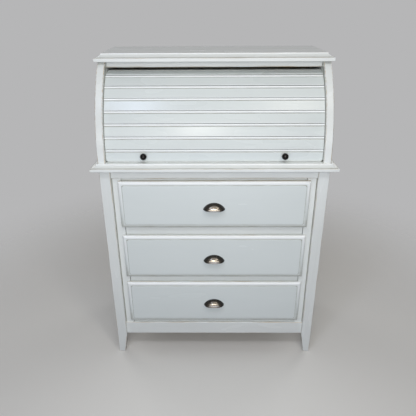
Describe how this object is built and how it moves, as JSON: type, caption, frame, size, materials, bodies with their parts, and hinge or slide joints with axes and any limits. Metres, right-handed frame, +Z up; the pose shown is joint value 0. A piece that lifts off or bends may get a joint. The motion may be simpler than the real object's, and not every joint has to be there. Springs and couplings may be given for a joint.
{
  "type": "tambour desk",
  "caption": "Painted desk on tapered legs: lipped drawers with cup pulls under a moulded waist board, and a roll-top writing case whose slatted tambour curves back under the top.",
  "frame": {"origin": "on the floor, in the middle of the waist board's width and depth", "axes": "+Z up, +X to the right of someone facing the drawers, front towards -Y"},
  "size_m": [0.84, 0.425, 1.169],
  "materials": {
    "painted_wood": "off-white satin paint",
    "bare_wood": "bare planed pine",
    "dark_nickel": "dark antique nickel"
  },
  "bodies": {
    "case": {"front_left_leg": "painted_wood", "front_right_leg": "painted_wood", "back_left_leg": "painted_wood", "back_right_leg": "painted_wood", "left_side_panel": "painted_wood", "right_side_panel": "painted_wood", "back_panel": "bare_wood", "top_apron": "painted_wood", "bottom_apron": "painted_wood", "left_stile": "painted_wood", "right_stile": "painted_wood", "top_rail": "painted_wood", "drawer_rail_1": "painted_wood", "drawer_rail_2": "painted_wood", "bottom_rail": "painted_wood", "runners_1": "bare_wood", "runners_2": "bare_wood", "runners_3": "bare_wood", "waist_board": "painted_wood", "top_board": "painted_wood", "left_upper_side": "painted_wood", "right_upper_side": "painted_wood", "upper_back_panel": "bare_wood", "top_front_rail": "painted_wood", "organiser_shelf": "painted_wood", "organiser_dividers": "painted_wood"},
    "drawer_1": {"drawer_1_front": "painted_wood", "drawer_1_left_side": "bare_wood", "drawer_1_right_side": "bare_wood", "drawer_1_back": "bare_wood", "drawer_1_bottom": "bare_wood", "drawer_1_pull": "dark_nickel", "drawer_1_pull_screws": "dark_nickel"},
    "drawer_2": {"drawer_2_front": "painted_wood", "drawer_2_left_side": "bare_wood", "drawer_2_right_side": "bare_wood", "drawer_2_back": "bare_wood", "drawer_2_bottom": "bare_wood", "drawer_2_pull": "dark_nickel", "drawer_2_pull_screws": "dark_nickel"},
    "drawer_3": {"drawer_3_front": "painted_wood", "drawer_3_left_side": "bare_wood", "drawer_3_right_side": "bare_wood", "drawer_3_back": "bare_wood", "drawer_3_bottom": "bare_wood", "drawer_3_pull": "dark_nickel", "drawer_3_pull_screws": "dark_nickel"},
    "tambour_lift_rail": {"lift_rail": "painted_wood", "left_knob": "dark_nickel", "right_knob": "dark_nickel"},
    "slat_1": {"tambour_slat_1": "painted_wood"},
    "slat_2": {"tambour_slat_2": "painted_wood"},
    "slat_3": {"tambour_slat_3": "painted_wood"},
    "slat_4": {"tambour_slat_4": "painted_wood"},
    "slat_5": {"tambour_slat_5": "painted_wood"},
    "slat_6": {"tambour_slat_6": "painted_wood"},
    "slat_7": {"tambour_slat_7": "painted_wood"},
    "slat_8": {"tambour_slat_8": "painted_wood"}
  },
  "joints": [
    {"name": "drawer_1_slide", "type": "slide", "parent": "case", "child": "drawer_1", "axis": [0, -1, 0], "range_m": [0, 0.28]},
    {"name": "drawer_2_slide", "type": "slide", "parent": "case", "child": "drawer_2", "axis": [0, -1, 0], "range_m": [0, 0.28]},
    {"name": "drawer_3_slide", "type": "slide", "parent": "case", "child": "drawer_3", "axis": [0, -1, 0], "range_m": [0, 0.28]},
    {"name": "tambour_roll", "type": "hinge", "parent": "case", "child": "tambour_lift_rail", "pos_m": [0, 0.22304, 0.8285], "axis": [-1, 0, 0], "range_deg": [0, 33.35]},
    {"name": "slat_1_hinge", "type": "hinge", "parent": "tambour_lift_rail", "child": "slat_1", "pos_m": [0, -0.1607, 0.87062], "axis": [-1, 0, 0], "range_deg": [-0.02, 14.39]},
    {"name": "slat_2_hinge", "type": "hinge", "parent": "slat_1", "child": "slat_2", "pos_m": [0, -0.15383, 0.91215], "axis": [-1, 0, 0], "range_deg": [-0.02, 23.24]},
    {"name": "slat_3_hinge", "type": "hinge", "parent": "slat_2", "child": "slat_3", "pos_m": [0, -0.14248, 0.95268], "axis": [-1, 0, 0], "range_deg": [-2.85, 0.02]},
    {"name": "slat_4_hinge", "type": "hinge", "parent": "slat_3", "child": "slat_4", "pos_m": [0, -0.12679, 0.99173], "axis": [-1, 0, 0], "range_deg": [-6.27, 0.02]},
    {"name": "slat_5_hinge", "type": "hinge", "parent": "slat_4", "child": "slat_5", "pos_m": [0, -0.10694, 1.02885], "axis": [-1, 0, 0], "range_deg": [-0.02, 2.2]},
    {"name": "slat_6_hinge", "type": "hinge", "parent": "slat_5", "child": "slat_6", "pos_m": [0, -0.08317, 1.06358], "axis": [-1, 0, 0], "range_deg": [-0.02, 16.88]},
    {"name": "slat_7_hinge", "type": "hinge", "parent": "slat_6", "child": "slat_7", "pos_m": [0, -0.05239, 1.09228], "axis": [-1, 0, 0], "range_deg": [-1.95, 0.02]},
    {"name": "slat_8_hinge", "type": "hinge", "parent": "slat_7", "child": "slat_8", "pos_m": [0, -0.01101, 1.1], "axis": [-1, 0, 0], "range_deg": [-0.02, 10.38]}
  ],
  "couplings": [
    {"joint": "slat_1_hinge", "follows": "tambour_roll", "ratio": 0.43093},
    {"joint": "slat_2_hinge", "follows": "tambour_roll", "ratio": 0.69632},
    {"joint": "slat_3_hinge", "follows": "tambour_roll", "ratio": -0.084792},
    {"joint": "slat_4_hinge", "follows": "tambour_roll", "ratio": -0.18742},
    {"joint": "slat_5_hinge", "follows": "tambour_roll", "ratio": 0.065333},
    {"joint": "slat_6_hinge", "follows": "tambour_roll", "ratio": 0.5055},
    {"joint": "slat_7_hinge", "follows": "tambour_roll", "ratio": -0.05775},
    {"joint": "slat_8_hinge", "follows": "tambour_roll", "ratio": 0.31071}
  ]
}
